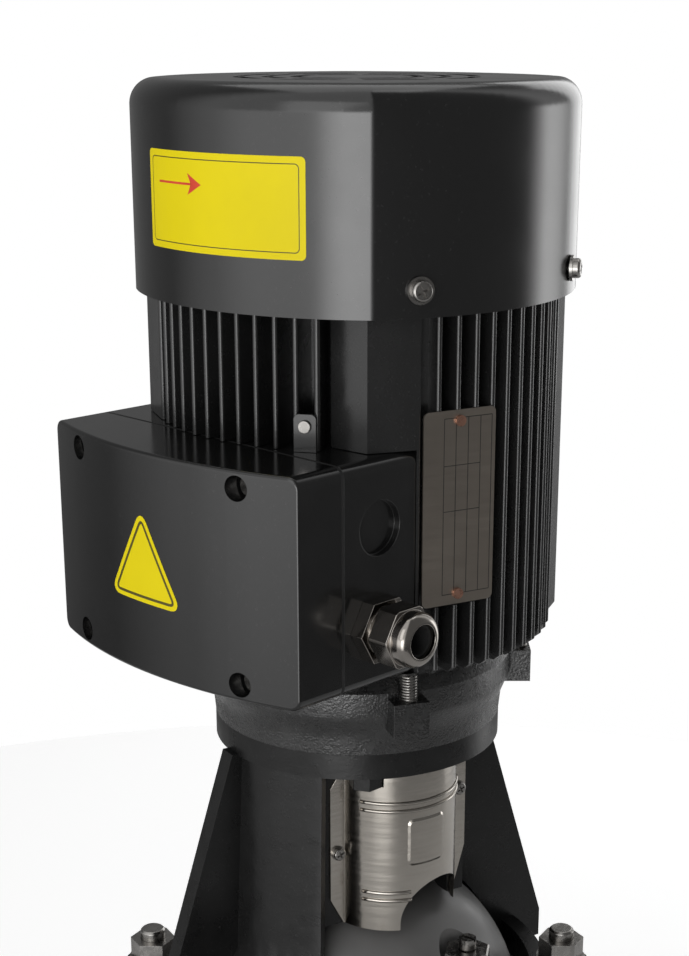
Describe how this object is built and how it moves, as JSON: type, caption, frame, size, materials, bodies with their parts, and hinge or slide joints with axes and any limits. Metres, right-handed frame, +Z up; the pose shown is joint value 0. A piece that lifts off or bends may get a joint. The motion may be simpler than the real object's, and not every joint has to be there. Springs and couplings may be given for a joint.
{
  "type": "vertical multistage pump",
  "caption": "Vertical in-line multistage centrifugal pump with flanged ports, a staged sleeve held by stay bolts, a guarded coupling in a motor stool and a finned electric motor on top.",
  "frame": {"origin": "centre of the foot's underside, on the shaft axis", "axes": "+Z up along the shaft; the ports lie along X with the inlet towards -X, below the terminal box; the priming and drain plugs face -Y"},
  "size_m": [0.28, 0.248, 0.6887],
  "materials": {
    "cast_grey": "painted casting",
    "stool_black": "satin paint over a casting",
    "motor_black": "satin black",
    "shield_cast": "rough casting, dark",
    "cover_black": "satin black sheet",
    "box_black": "satin black",
    "stainless": "brushed",
    "steel": "bright zinc",
    "lamination": "laminated steel",
    "coupling_iron": "machined",
    "winding": "enamelled copper",
    "rubber": "matt",
    "seal_carbon": "carbon",
    "gland_metal": "nickel plated",
    "fan_plastic": "satin",
    "terminal_plastic": "satin",
    "brass": "bright",
    "plate": "satin",
    "rivet": "bright",
    "earth": "bright zinc"
  },
  "bodies": {
    "pump": {"pump_base": "cast_grey", "pump_head": "cast_grey", "motor_stool": "stool_black", "stator_housing": "motor_black", "upper_end_shield": "motor_black", "lower_end_shield": "shield_cast", "fan_cover": "cover_black", "terminal_box_body": "box_black", "terminal_box_cover": "box_black", "outer_sleeve": "stainless", "coupling_guard_front": "stainless", "coupling_guard_back": "stainless", "chambers": "stainless", "stack_spacer": "stainless", "suction_bell": "stainless", "stay_bolts": "steel", "stay_bolt_nuts": "steel", "flange_bolts": "steel", "guard_screws": "steel", "fan_cover_screws": "steel", "box_cover_screws": "steel", "tie_bolts": "steel", "priming_plug": "steel", "drain_plug": "steel", "lower_bearing_outer_ring": "steel", "upper_bearing_outer_ring": "steel", "stator_core": "lamination", "stator_windings": "winding", "sleeve_seals": "rubber", "terminal_box_gasket": "rubber", "cable_gland_seal": "rubber", "seal_stationary_ring": "seal_carbon", "cable_gland_body": "gland_metal", "cable_gland_nut": "gland_metal", "terminal_block": "terminal_plastic", "terminal_studs": "brass", "nameplate": "plate", "nameplate_rivets": "rivet", "earth_tab": "earth", "earth_screw": "earth"},
    "rotor": {"motor_shaft": "steel", "rotor_core": "lamination", "cooling_fan": "fan_plastic", "fan_clip": "steel", "lower_bearing_inner_ring": "steel", "upper_bearing_inner_ring": "steel", "coupling_front_half": "coupling_iron", "coupling_back_half": "coupling_iron", "coupling_screws": "steel", "coupling_pin": "steel", "pump_shaft": "stainless", "impeller_1": "stainless", "impeller_2": "stainless", "impeller_3": "stainless", "impeller_4": "stainless", "seal_rotating_ring": "seal_carbon"},
    "upper_balls": {"upper_bearing_balls": "steel"},
    "lower_balls": {"lower_bearing_balls": "steel"},
    "vent": {"vent_screw": "steel"}
  },
  "joints": [
    {"name": "rotor_spin", "type": "hinge", "parent": "pump", "child": "rotor", "pos_m": [0, 0, 0.369], "axis": [0, 0, 1], "continuous": true},
    {"name": "upper_ball_orbit", "type": "hinge", "parent": "pump", "child": "upper_balls", "pos_m": [0, 0, 0.6148], "axis": [0, 0, 1], "continuous": true},
    {"name": "lower_ball_orbit", "type": "hinge", "parent": "pump", "child": "lower_balls", "pos_m": [0, 0, 0.4305], "axis": [0, 0, 1], "continuous": true},
    {"name": "vent_screw_turn", "type": "hinge", "parent": "pump", "child": "vent", "pos_m": [0.0069, -0.06564, 0.298], "axis": [0, 0, 1], "range_deg": [0, 360]}
  ],
  "couplings": [
    {"joint": "upper_ball_orbit", "follows": "rotor_spin", "ratio": 0.4},
    {"joint": "lower_ball_orbit", "follows": "rotor_spin", "ratio": 0.4}
  ]
}
